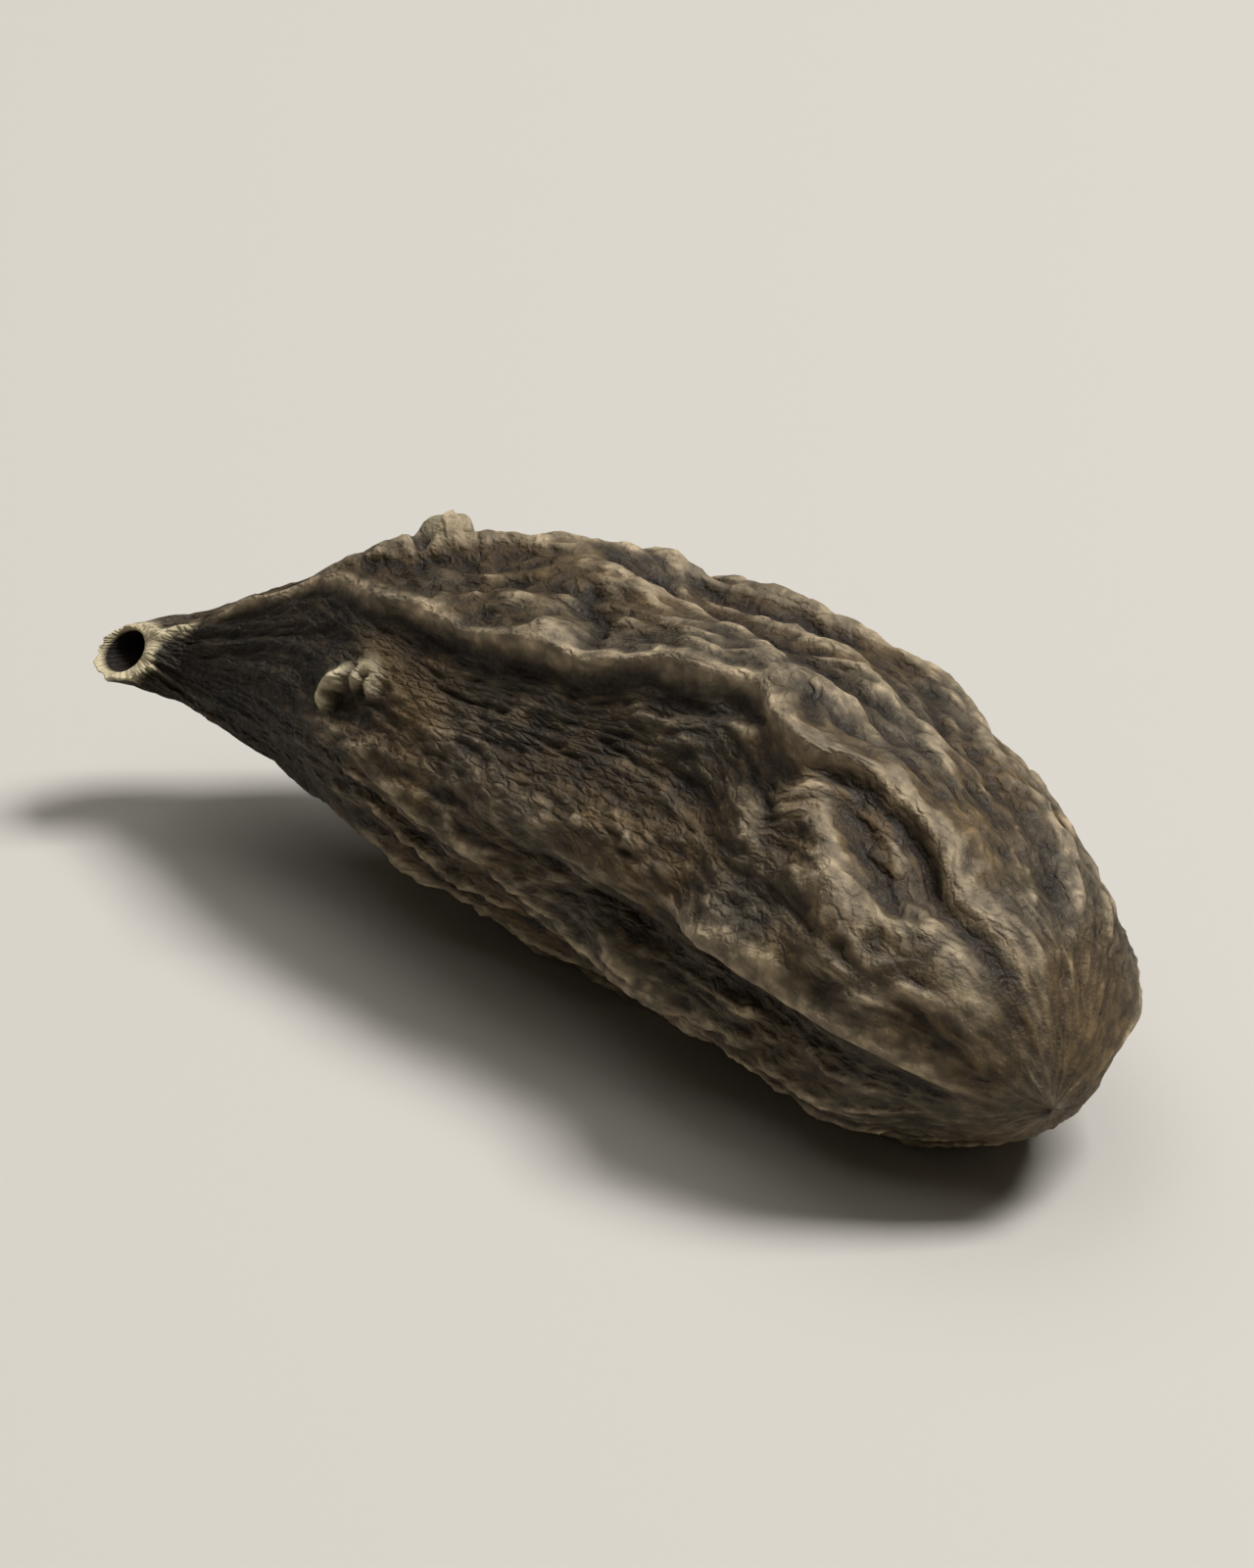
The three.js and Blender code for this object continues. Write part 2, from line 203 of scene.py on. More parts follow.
# Lesser folds all over the skin: how many lie round the girth, their height, how far they sway, how often
# they sway along the fruit, and where they start. The first two are the solid's, and the others are finer.
# LESSER_VALLEY is the share of their height above the mean skin. The sway has a second, quicker wave, and
# their strength comes and goes. The lobes are how often each wave turns over in going once round the girth.
# They are lower by the share given as the height of the calm spots, and towards the broad end's tip.
LESSER_VALLEY = 0.65
LESSER_ROUNDNESS = 0.12
LESSER_FOLDS = [
    dict(count=11, height=0.35, sway=0.9, waves=1.6, phase=0.9),
    dict(count=18, height=0.45, sway=1.3, waves=2.3, phase=1.4),
    dict(count=33, height=0.17, sway=2.1, waves=3.1, phase=0.4),
    dict(count=52, height=0.11, sway=2.8, waves=4.3, phase=2.2),
]
SWAY_LOBES = 2
SECOND_SWAY = dict(share=0.5, rate=1.7, lobes=3)
STRENGTH = dict(mean=0.6, swing=0.4, rate=1.3, lobes=4)
CALM_SPOTS = [
    dict(station=0.42, degrees=38, along=9.0, round=3.6, height=-0.85),
    dict(station=0.84, degrees=52, along=5.0, round=3.6, height=-0.6),
]
TIP_STATION = 0.88
TIP_CALM = 0.8

# The main folds die away, by so large a share, over the last stretch of the broad end. Round its middle lies
# the withered remnant of the flower, a small knob in a sunken ring that is uneven all round.
TIP_FADE_STATION = 0.93
TIP_FADE = 0.9
REMNANT = dict(height=0.32, radius=0.42, ring=0.2, ring_radius=0.85, uneven=0.3, lobes=3, phase=1.0)

# Torn curls of pale inner skin: the middle's station and angle, and arcs round it. An arc's middle lies so
# many millimetres along and round the fruit from there, and its angles run from the broad end towards the
# top. Its edge is ragged and shows so much of the pale skin. Its inside is sunk by the dip, out to the hole's
# radius, and shows the share called inside.
CURL_END_DEGREES = 40.0
CURL_RAGGED = dict(radius=0.12, width=0.3, lobes=3, phase=0.8)
CURLS = [
    # The scar on the sunken face: a slanting petal at its left, and a rounder one at its right.
    dict(
        station=0.268, degrees=34, inside=0.1,
        arcs=[
            dict(
                along=0.2, round=-0.25, radius=0.56, width=0.2, middle=154, half=78, height=0.5, shown=1.0,
                dip=0.35, hole=0.32,
            ),
            dict(
                along=0.76, round=0.32, radius=0.24, width=0.27, middle=80, half=170, height=0.42, shown=0.7,
                dip=0.0, hole=0.1,
            ),
        ],
    ),
    # The nub on the roof, a small hood open to the front.
    dict(
        station=0.262, degrees=104, inside=0.0,
        arcs=[
            dict(
                along=0.0, round=0.0, radius=0.6, width=0.16, middle=55, half=120, height=0.5, shown=0.35,
                dip=0.8, hole=0.45,
            ),
        ],
    ),
]

# The pale spur of the stalk along the top of the neck, and the brown stain that runs from the scar.
SPUR = dict(height=0.2, width=0.16, path=[(0.0, 60), (0.03, 68), (0.07, 80)])
STAIN = dict(strength=0.45, width=0.6, path=[(0.24, 56), (0.29, 49), (0.35, 34), (0.43, 24)])

# Fine folds that only the finished skin has.
GROOVE_DEGREES = 5
FINE_FOLDS = [
    # The thin lips of the long crest with the groove under them, and the lip of the low crest.
    dict(height=0.35, above=0.22, below=0.16, path=LONG_CREST[:9]),
    dict(height=0.25, above=0.3, below=0.16, path=LONG_CREST[7:13]),
    dict(
        height=-0.25, above=0.2, below=0.3,
        path=[(station, degrees - GROOVE_DEGREES) for station, degrees in LONG_CREST[:13]],
    ),
    dict(height=0.16, above=0.3, below=0.2, path=LOW_CREST[3:]),
    # Thin ridges between the long crest and the nub, and on the middle lobe.
    dict(height=0.3, above=0.3, below=0.3, path=[(0.14, 82), (0.19, 91), (0.24, 99), (0.32, 102)]),
    dict(height=0.2, above=0.3, below=0.3, path=[(0.7, 62), (0.8, 61), (0.9, 49), (0.98, 50)]),
    dict(height=0.2, above=0.3, below=0.3, path=MIDDLE_LOBE),
    # Streaks in the hollow between the right lobe and the middle one.
    dict(
        height=0.18, above=0.35, below=0.45,
        path=[(0.74, 82), (0.79, 79), (0.85, 73), (0.89, 68), (0.93, 73)],
    ),
    dict(
        height=0.15, above=0.25, below=0.25,
        path=[(0.72, 77), (0.78, 73), (0.82, 75), (0.87, 69), (0.92, 70)],
    ),
    # Thin creases beside the lobes of the broad end.
    dict(
        height=-0.2, above=0.25, below=0.14,
        path=[(0.74, 77), (0.79, 72), (0.84, 65), (0.87, 60), (0.9, 63)],
    ),
    dict(
        height=-0.4, above=0.2, below=0.35,
        path=[(0.84, 80), (0.9, 76), (0.93, 78), (0.96, 87), (0.99, 92)],
    ),
    dict(
        height=-0.3, above=0.14, below=0.14,
        path=[(0.78, 43), (0.86, 44), (0.9, 43), (0.94, 54), (0.98, 56)],
    ),
    dict(height=-0.25, above=0.14, below=0.14, path=[(0.89, 41), (0.93, 44), (0.96, 39), (0.99, 36)]),
    dict(height=-0.2, above=0.2, below=0.2, path=[(0.69, 63), (0.73, 60), (0.77, 53), (0.83, 49)]),
    # Thin ridges on the right lobe, and one between the lowest lobe and the low crest.
    dict(height=0.2, above=0.3, below=0.3, path=[(0.72, 84), (0.8, 90), (0.88, 90), (0.95, 96)]),
    dict(height=0.18, above=0.3, below=0.3, path=[(0.74, 92), (0.84, 97), (0.92, 98), (0.98, 104)]),
    dict(height=0.16, above=0.3, below=0.3, path=[(0.76, 30), (0.84, 29), (0.9, 28), (0.96, 32)]),
]

# Wrinkles that the Geometry Nodes tree raises, in millimetres: the pitch across, how many times longer they
# are than wide, their height, how far they wander, and a seed. A crest lies where the noise is at its middle,
# and the skin is down in a valley where the noise is WRINKLE_VALLEY from there.
WRINKLES = [
    dict(name="Wrinkle", pitch=0.7, stretch=4.0, height=0.13, wander=0.3, seed=3.0),
    dict(name="Pucker", pitch=0.4, stretch=1.8, height=0.05, wander=0.3, seed=11.0),
]
WRINKLE_SIZES = ("pitch", "stretch", "height", "wander", "seed")
WRINKLE_NOISE = {"Scale": 1.0, "Detail": 2.0, "Roughness": 0.55}
WRINKLE_VALLEY = 0.14

# They run along the fruit and draw together at its ends, but on no slimmer a girth than this, and turn round
# it by so many degrees from end to end.
FLOW_SLIMMEST = 1.5
FLOW_TWIST = 25.0

# The two crests are drawn smooth: how far the wrinkles keep off, and the share of them that is lost there.
CREST_SMOOTH_REACH = 0.35
CREST_SMOOTH = 0.7

# Crests rubbed pale and given a painted highlight: how strongly, and how wide, in millimetres.
PALE_LIT_CREST_LINES = [
    dict(strength=0.9, width=0.15, path=LONG_CREST),
    dict(strength=0.7, width=0.15, path=LOW_CREST[3:]),
    dict(strength=0.1, width=0.35, path=MIDDLE_LOBE),
    dict(strength=0.5, width=0.2, path=LOWER_LOBE),
]

# The skin darkens by this share from the second of these stations to the first, towards the stalk, partly as
# painted shade, but less so above the long crest on the lit roof: by what share, and between which heights
# over the crest, in millimetres.
NECK_DARKER = 0.9
NECK_SHADE = (0.14, 0.36)
ROOF_PALER = 0.65
ROOF_EDGE = (-0.1, 0.6)

# The fine creases of the finish die away between these stations, where they draw together at the tip.
CREASE_END = (0.9, 0.99)

# A point's relief over that of the skin round it, smoothed over a fine and over a broad reach, tells crests
# from hollows. It is counted in units of the rise. The stalk's lip and the floor of its hollow have a relief
# of their own. All are in millimetres.
# From these the finish paints crests pale, partly as a painted highlight, and hollows dark as painted shade.
FINE = dict(reach=0.28, rise=0.1)
BROAD = dict(reach=0.9, rise=0.5)
LIP_RELIEF = 0.3
BORE_RELIEF = -1.0

# What the finish reads at each point of the skin, from attributes with these names.
FINISH_VALUES = ("crest", "hollow", "pale", "stain", "sunken", "bore", "neck", "rubbed_lit_lip", "calm")


def smoothstep(value, low, high):
    """0 below low, 1 above high and a smooth rise between them."""
    share = np.clip((value - low) / (high - low), 0, 1)
    return share * share * (3 - 2 * share)


def turn(start, end):
    """The shorter way round from one angle in degrees to another."""
    return (end - start + 180) % 360 - 180


def middle_line(station):
    """The middle line, which bends to the side towards the broad end, droops at both ends and curls at the
    stalk."""
    curl = np.maximum(0, 1 - station / STALK_STATION)
    return np.stack(
        [
            LENGTH * (station - 0.5) + STALK_CURL["back"] * curl**3,
            -SIDE_BEND * (station - SIDE_BEND_STATION) ** 2 - STALK_CURL["front"] * curl**2,
            -DROOP * (station - DROOP_STATION) ** 2 + STALK_CURL["up"] * curl**2,
        ],
        axis=-1,
    )


def heading(station):
    """Direction of the middle line, which is the slope of its bends."""
    curl = np.maximum(0, 1 - station / STALK_STATION)
    slope = np.stack(
        [
            LENGTH - 3 * STALK_CURL["back"] * curl**2 / STALK_STATION,
            -2 * SIDE_BEND * (station - SIDE_BEND_STATION) + 2 * STALK_CURL["front"] * curl / STALK_STATION,
            -2 * DROOP * (station - DROOP_STATION) - 2 * STALK_CURL["up"] * curl / STALK_STATION,
        ],
        axis=-1,
    )
    return slope / np.linalg.norm(slope, axis=-1, keepdims=True)


def mean_radius(station):
    """Mean radius of the fruit: the rim of the stalk, a neck that swells to the girth, then a blunt end."""
    neck = RIM_RADIUS + (NECK_RADIUS - RIM_RADIUS) * smoothstep(station, 0, NECK_STATION)
    swell = np.clip((station - NECK_STATION) / (THICKEST_STATION - NECK_STATION), 0, 1)
    body = NECK_RADIUS + (GIRTH_RADIUS - NECK_RADIUS) * np.sin(swell * math.pi / 2)
    share = np.clip((station - THICKEST_STATION) / (1 - THICKEST_STATION), 0, 1)
    end = GIRTH_RADIUS * (1 - share**END_POWER) ** (1 / END_POWER)
    return np.where(station < NECK_STATION, neck, np.where(station < THICKEST_STATION, body, end))


def angle_of(path, station):
    """Angle of a path at a station, with a smooth step from each of its points to the next."""
    degrees = np.full_like(station, path[0][1])
    for (start, before), (end, after) in zip(path, path[1:]):
        degrees = degrees + (after - before) * smoothstep(station, start, end)
    return degrees


def fade_of(path, station):
    """1 along a path and 0 past its ends. A path that reaches the broad end doesn't fade there."""
    start, end = path[0][0], path[-1][0]
    run = min(FADE_RUN, (end - start) / 3)
    fade = smoothstep(station, start, start + run)
    return fade if end >= 1 else fade * (1 - smoothstep(station, end - run, end))


def across(path, station, degrees, radius):
    """Millimetres round the skin from a path, positive above it."""
    return np.radians(turn(angle_of(path, station), degrees)) * radius


def line_of(path, width, station, degrees, radius):
    """1 on a path and less beside it, over a width in millimetres, fading at the path's ends."""
    away = across(path, station, degrees, radius) / width
    return np.exp(-(away**2)) * fade_of(path, station)


def fold_relief(fold, station, degrees, radius):
    """Height of a fold, and how far it leans round the girth, in millimetres."""
    strength = fold["height"] * fade_of(fold["path"], station)
    uneven = (fold["below"] - fold["above"]) / max(fold["above"], fold["below"])
    leaning = CREST_LEAN * uneven * strength
    away = across(fold["path"], station, degrees, np.maximum(radius, SLIMMEST_FOLD_RADIUS)) + leaning
    reach = np.where(away > 0, fold["above"], fold["below"])
    roundness = fold.get("roundness", CREST_ROUNDNESS)
    fall = (np.hypot(away, roundness) - roundness) / reach
    return strength * np.exp(-fall), leaning * np.exp(-((away / CREST_LEAN_REACH) ** 2))


def spot_height(spot, station, degrees, radius):
    """Height of a sunken or raised spot."""
    along = (station - spot["station"]) * LENGTH / spot["along"]
    around = np.radians(turn(spot["degrees"], degrees)) * radius / spot["round"]
    return spot["height"] * np.exp(-(along**2 + around**2))


def lesser_height(lesser, station, degrees):
    """Height of a set of lesser folds, which have sharp crests and round valleys and sway along the fruit."""
    turns = 2 * math.pi * lesser["waves"] * station + lesser["phase"]
    around = np.radians(degrees)
    first = np.sin(turns + SWAY_LOBES * around)
    second = np.sin(SECOND_SWAY["rate"] * turns - SECOND_SWAY["lobes"] * around)
    shift = lesser["sway"] * (first + SECOND_SWAY["share"] * second)
    swing = np.sin(STRENGTH["rate"] * turns + STRENGTH["lobes"] * around)
    wave = np.sin(lesser["count"] * around / 2 + shift)
    crest = LESSER_VALLEY - np.hypot(wave, LESSER_ROUNDNESS)
    return lesser["height"] * (STRENGTH["mean"] + STRENGTH["swing"] * swing) * crest


def curl_relief(curl, station, degrees, radius):
    """Height of a torn curl, and how much of its pale inner side shows, from 0 to 1."""
    along = (station - curl["station"]) * LENGTH
    around = np.radians(turn(curl["degrees"], degrees)) * radius
    height = np.zeros_like(degrees)
    pale = np.zeros_like(degrees)
    for arc in curl["arcs"]:
        x, y = along - arc["along"], around - arc["round"]
        angle = np.arctan2(y, x)
        wave = np.sin(CURL_RAGGED["lobes"] * angle + CURL_RAGGED["phase"] + arc["middle"])
        distance = np.hypot(x, y) / (1 + CURL_RAGGED["radius"] * wave)
        off = np.abs(turn(arc["middle"], np.degrees(angle)))
        fade = 1 - smoothstep(off, arc["half"] - CURL_END_DEGREES, arc["half"])
        width = arc["width"] * (1 - CURL_RAGGED["width"] * wave)
        ridge = np.exp(-(((distance - arc["radius"]) / width) ** 2)) * fade
        inside = np.exp(-((distance / arc["hole"]) ** 4))
        height = height + arc["height"] * ridge - arc["dip"] * inside
        pale = np.maximum(pale, np.maximum(arc["shown"] * ridge, curl["inside"] * inside))
    return height, pale


def skin_relief(station, degrees):
    """Relief of the skin and its lean round the girth, in millimetres, and where its pale inside shows."""
    radius = mean_radius(station)
    relief = np.zeros_like(degrees)
    lean = np.zeros_like(degrees)
    for fold in FOLDS + FINE_FOLDS:
        height, leaning = fold_relief(fold, station, degrees, radius)
        relief += height
        lean += leaning
    ending = 1 - TIP_FADE * smoothstep(station, TIP_FADE_STATION, 1)
    relief, lean = relief * ending, lean * ending
    for spot in SPOTS:
        relief += spot_height(spot, station, degrees, radius)
    calm = 1 - TIP_CALM * smoothstep(station, TIP_STATION, 1)
    for spot in CALM_SPOTS:
        calm = calm * (1 + spot_height(spot, station, degrees, radius))
    for lesser in LESSER_FOLDS:
        relief += lesser_height(lesser, station, degrees) * calm
    slim = (radius / GIRTH_RADIUS) ** RELIEF_POWER
    relief, lean = relief * slim, lean * slim
    pale = np.zeros_like(degrees)
    for curl in CURLS:
        height, shown = curl_relief(curl, station, degrees, radius)
        relief += height
        pale = np.maximum(pale, shown)
    away = across(SPUR["path"], station, degrees, radius)
    end = SPUR["path"][-1][0]
    spur = np.exp(-((away / SPUR["width"]) ** 2)) * (1 - smoothstep(station, end / 2, end))
    return relief + SPUR["height"] * spur, lean, np.maximum(pale, spur)


def body_stations():
    """Stations of the rows, an even distance apart along the outline but for the close ones."""
    fine = np.linspace(0, 1, OUTLINE_STEPS + 1)
    run = np.hypot(np.diff(fine) * LENGTH, np.diff(mean_radius(fine)))
    middle = (fine[1:] + fine[:-1]) / 2
    run *= 1 + CLOSE["more"] * np.exp(-(((middle - CLOSE["station"]) / CLOSE["reach"]) ** 2))
    run *= 1 + TIP_CLOSE["more"] * (mean_radius(middle) < TIP_CLOSE["radius"]) * (middle > TIP_STATION)
    total = np.concatenate([[0], np.cumsum(run)])
    return np.interp(np.linspace(0, total[-1], BODY_ROWS, endpoint=False), total, fine)


def points_at(station, degrees, radius):
    """Points at a station, an angle and a distance from the middle line. The break's slant moves those near
    the stalk's end along it."""
    near = np.clip(1 - station / BREAK_STATION, 0, 1)
    slant = BREAK_SLANT / LENGTH * near * np.cos(np.radians(degrees - BREAK_DEGREES))
    station = station + slant * np.minimum(radius / RIM_RADIUS, 1)
    ahead = heading(station)
    side = np.cross(ahead, [0, 0, 1])
    side /= np.linalg.norm(side, axis=-1, keepdims=True)
    up = np.cross(side, ahead)
    around = np.radians(degrees)[..., None]
    out = side * np.cos(around) * WIDER + up * np.sin(around) / WIDER
    return middle_line(station) + out * radius[..., None]


def column_degrees(station):
    """Angles of the columns at a station. Those near the top follow the long crest."""
    even = 360 * np.arange(AROUND)[None, :] / AROUND
    reach = turn(CREST_DEGREES, even) / CREST_REACH_DEGREES
    return even + (angle_of(LONG_CREST, station) - CREST_DEGREES) * np.exp(-(reach**2))


def remnant(radius, station, degrees):
    """How far the withered remnant stands out at the broad end: a small knob in a sunken ring."""
    knob = REMNANT["height"] * np.exp(-((radius / REMNANT["radius"]) ** 2))
    uneven = 1 + REMNANT["uneven"] * np.sin(REMNANT["lobes"] * np.radians(degrees) + REMNANT["phase"])
    ring = REMNANT["ring"] * uneven * np.exp(-((radius / REMNANT["ring_radius"]) ** 2))
    return (knob - ring) * (station > TIP_STATION)


def stalk_rings(outer, degrees, ragged):
    """Rings of points from the floor of the stalk's hollow out over its rounded and ragged lip, up to the
    first ring of the skin, whose radii and angles these are, with their relief for the finish."""
    mouth = MOUTH["radius"] + MOUTH["shift"] * np.cos(np.radians(degrees - MOUTH["degrees"]))
    rings, reliefs = [], []
    for row in range(1, LIP_ROWS + 1):
        share = row / LIP_ROWS
        radius = outer + (mouth - outer) * (1 - math.cos(share * math.pi / 2)) ** LIP["power"]
        proud = math.sin(math.pi * share) * (LIP["bulge"] + LIP["ragged"] * ragged)
        rings.append(points_at(-proud / LENGTH, degrees, radius))
        reliefs.append(np.full(AROUND, LIP_RELIEF))
    for row in range(1, BORE_ROWS + 1):
        share = row / BORE_ROWS
        radius = mouth + (BORE_RADIUS - mouth) * share
        rings.append(points_at(np.full(AROUND, share * BORE_DEPTH / LENGTH), degrees, radius))
        reliefs.append(np.full(AROUND, BORE_RELIEF * share))
    return np.array(rings[::-1]), np.array(reliefs[::-1])


def finish_shares(station, degrees, radius):
    """How much of each kind the skin is, from 0 to about 1: a smooth crest, a lip rubbed pale and with a
    painted highlight, the dark neck, partly painted shade, the sunken face, the stain, and the tip without
    creases."""
    girth = np.maximum(radius, SLIMMEST_FOLD_RADIUS)
    place = (station, degrees, girth)
    smooth = [line_of(path, CREST_SMOOTH_REACH, *place) for path in (LONG_CREST, LOW_CREST)]
    rubbed_and_lit = [line["strength"] * line_of(line["path"], line["width"], *place) for line in PALE_LIT_CREST_LINES]
    roof = np.sin(np.radians(degrees - angle_of(LONG_CREST, station))) * girth
    sunken = sum(spot_height(spot, station, degrees, radius) for spot in SUNKEN_FACE)
    return dict(
        smooth=np.maximum.reduce(smooth),
        rubbed_lit_lip=np.maximum.reduce(rubbed_and_lit) * (1 - smoothstep(station, TIP_FADE_STATION, 1)),
        neck=(1 - smoothstep(station, *NECK_SHADE)) * (1 - ROOF_PALER * smoothstep(roof, *ROOF_EDGE)),
        sunken=sunken / SUNKEN_FACE[0]["height"],
        stain=line_of(STAIN["path"], STAIN["width"], station, degrees, radius),
        calm=np.broadcast_to(smoothstep(station, *CREASE_END), degrees.shape),
    )


def skin_rings():
    """Rings of points from the floor of the stalk's hollow, over its lip and along the fruit, with how far
    each ring is along the outline, and with what the finish and the wrinkles read at each point."""
    station = body_stations()[:, None]
    degrees = column_degrees(station)
    relief, lean, pale = skin_relief(station, degrees)
    radius = mean_radius(station)
    leaning = degrees + np.degrees(lean / np.maximum(radius, SLIMMEST_FOLD_RADIUS))
    body = points_at(np.broadcast_to(station, degrees.shape), leaning, radius + relief)
    body = body + remnant(radius + relief, station, degrees)[..., None] * heading(np.array(1.0))

    around = np.radians(degrees[0])
    come_and_go = np.sin(LIP_TEETH["lobes"] * around + LIP_TEETH["phase"])
    ragged = np.sin(LIP_TEETH["count"] * around) * come_and_go
    stalk, stalk_relief = stalk_rings((radius + relief)[0], degrees[0], ragged)
    edge = 1 - smoothstep(station * LENGTH + EDGE_RAGGED * ragged, 0, EDGE_REACH)

    none = np.zeros(stalk_relief.shape)
    in_bore = none.copy()
    in_bore[:BORE_ROWS] = 1
    rings = {
        name: np.concatenate([none, values])
        for name, values in finish_shares(station, degrees, radius).items()
    }
    stations = np.concatenate([none[:, :1], station])
    steps = np.hypot(np.diff(stations[:, 0]) * LENGTH, np.diff(mean_radius(stations[:, 0])))
    rings.update(
        points=np.concatenate([stalk, body]),
        inner=len(stalk),
        station=stations,
        along=np.concatenate([[0], np.cumsum(steps)]),
        relief=np.concatenate([stalk_relief, relief]),
        pale=np.concatenate([1 - in_bore, np.maximum(pale, edge)]),
        bore=np.concatenate([in_bore, np.zeros_like(relief)]),
        floor=middle_line(np.array(BORE_DEPTH / LENGTH)),
        tip=middle_line(np.array(1.0)) + remnant(0.0, 1.0, 0.0) * heading(np.array(1.0)),
    )
    return rings


def settle(rings):
    """Sets the skin where the solid is: box over box, and cut flat underneath on the floor."""
    low, high = (np.array(corner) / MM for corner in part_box("berry"))
    skin = rings["points"][rings["inner"]:]
    shift = (low + high) / 2 - (skin.min((0, 1)) + skin.max((0, 1))) / 2
    shift[2] = low[2] - skin[..., 2].min() - RESTING_DEPTH
    for name in ("points", "floor", "tip"):
        rings[name] = rings[name] + shift
    rings["points"][..., 2] = np.maximum(rings["points"][..., 2], low[2])


def skin_mesh(rings):
    """The closed skin as a mesh in metres: the hollow's floor, then the rings, then the tip."""
    rows = len(rings["points"])
    points = np.concatenate([rings["floor"][None], rings["points"].reshape(-1, 3), rings["tip"][None]]) * MM
    at = 1 + np.arange(rows)[:, None] * AROUND + np.arange(AROUND)[None, :]
    beside = np.roll(at, -1, axis=1)
    quads = np.stack([at[:-1], at[1:], beside[1:], beside[:-1]], axis=-1).reshape(-1, 4)
    first = np.stack([np.zeros(AROUND, int), at[0], beside[0]], axis=-1)
    last = np.stack([beside[-1], at[-1], np.full(AROUND, len(points) - 1)], axis=-1)
    mesh = bpy.data.meshes.new("berry_skin")
    mesh.from_pydata(points.tolist(), [], first.tolist() + quads.tolist() + last.tolist())
    mesh.validate()
    return mesh


def store(mesh, name, values, kind="FLOAT", field="value"):
    """Keeps a value or a vector for each point of the mesh. The two ends' points get their rings' means."""
    flat = values.reshape(-1, *values.shape[2:])
    full = np.concatenate([values[0].mean(0)[None], flat, values[-1].mean(0)[None]])
    mesh.attributes.new(name, kind, "POINT").data.foreach_set(field, full.astype(np.float32).ravel())


def flow_of(rings):
    """Each point's place on the unrolled fruit, in millimetres: along the outline, then round the girth. The
    wrinkles' pattern reads it, so they run lengthwise and draw together at both ends."""
    around = np.radians(360 * np.arange(AROUND)[None, :] / AROUND + FLOW_TWIST * rings["station"])
    girth = np.hypot(mean_radius(rings["station"]), FLOW_SLIMMEST)
    along = np.broadcast_to(rings["along"][:, None], around.shape)
    return np.stack([along, girth * np.cos(around), girth * np.sin(around)], axis=-1)


def add(tree, kind, inputs=None, **settings):
    """Adds a node to a tree, with its settings, and a value or a link for each input by name or number."""
    made = tree.nodes.new(kind)
    for name, value in settings.items():
        setattr(made, name, value)
    for key, value in (inputs or {}).items():
        if isinstance(value, bpy.types.NodeSocket):
            tree.links.new(value, made.inputs[key])
        else:
            made.inputs[key].default_value = value
    return made


def wrinkle_tree():
    """A Geometry Nodes tree that raises wrinkles on a skin along its flow, and stores their height."""
    tree = bpy.data.node_groups.new("skin_wrinkles", "GeometryNodeTree")
    tree.is_modifier = True
    sockets = {}
    face = tree.interface
    face.new_socket("Geometry", in_out="INPUT", socket_type="NodeSocketGeometry")
    face.new_socket("Geometry", in_out="OUTPUT", socket_type="NodeSocketGeometry")
    for layer in WRINKLES:
        for size in WRINKLE_SIZES:
            name = f"{layer['name']} {size}"
            sockets[name] = face.new_socket(name, in_out="INPUT", socket_type="NodeSocketFloat")
    sockets["Skin"] = face.new_socket("Skin", in_out="INPUT", socket_type="NodeSocketMaterial")
    start = add(tree, "NodeGroupInput")
    flow = add(tree, "GeometryNodeInputNamedAttribute", {"Name": "flow"}, data_type="FLOAT_VECTOR")
    strength = add(tree, "GeometryNodeInputNamedAttribute", {"Name": "strength"}, data_type="FLOAT")
    total = 0.0
    for layer in WRINKLES:
        pitch, stretch, height, wander, seed = (
            start.outputs[f"{layer['name']} {size}"] for size in WRINKLE_SIZES
        )
        long_pitch = add(tree, "ShaderNodeMath", {0: pitch, 1: stretch}, operation="MULTIPLY")
        cell = add(tree, "ShaderNodeCombineXYZ", {"X": long_pitch.outputs[0], "Y": pitch, "Z": pitch})
        place = add(
            tree, "ShaderNodeVectorMath",
            {0: flow.outputs["Attribute"], 1: cell.outputs[0]}, operation="DIVIDE",
        )
        noise = add(
            tree, "ShaderNodeTexNoise",
            {"Vector": place.outputs[0], "W": seed, "Distortion": wander, **WRINKLE_NOISE},
            noise_dimensions="4D",
        )
        from_line = add(tree, "ShaderNodeMath", {0: noise.outputs[0], 1: 0.5}, operation="SUBTRACT")
        apart = add(tree, "ShaderNodeMath", {0: from_line.outputs[0]}, operation="ABSOLUTE")
        ridge = add(
            tree, "ShaderNodeMapRange",
            {
                "Value": apart.outputs[0], "From Min": 0.0, "From Max": WRINKLE_VALLEY,
                "To Min": 0.5, "To Max": -0.5,
            },
            interpolation_type="SMOOTHSTEP",
        )
        layered = add(
            tree, "ShaderNodeMath", {0: ridge.outputs[0], 1: height, 2: total}, operation="MULTIPLY_ADD",
        )
        total = layered.outputs[0]
    raised = add(tree, "ShaderNodeMath", {0: total, 1: strength.outputs["Attribute"]}, operation="MULTIPLY")
    kept = add(
        tree, "GeometryNodeStoreNamedAttribute",
        {"Geometry": start.outputs["Geometry"], "Name": "wrinkle", "Value": raised.outputs[0]},
        data_type="FLOAT", domain="POINT",
    )
    metres = add(tree, "ShaderNodeMath", {0: raised.outputs[0], 1: MM}, operation="MULTIPLY")
    normal = add(tree, "GeometryNodeInputNormal")
    offset = add(
        tree, "ShaderNodeVectorMath",
        {0: normal.outputs["Normal"], "Scale": metres.outputs[0]}, operation="SCALE",
    )
    moved = add(tree, "GeometryNodeSetPosition", {"Geometry": kept.outputs[0], "Offset": offset.outputs[0]})
    real = add(tree, "GeometryNodeRealizeInstances", {"Geometry": moved.outputs[0]})
    dressed = add(
        tree, "GeometryNodeSetMaterial", {"Geometry": real.outputs[0], "Material": start.outputs["Skin"]},
    )
    add(tree, "NodeGroupOutput", {"Geometry": dressed.outputs[0]})
    return tree, sockets


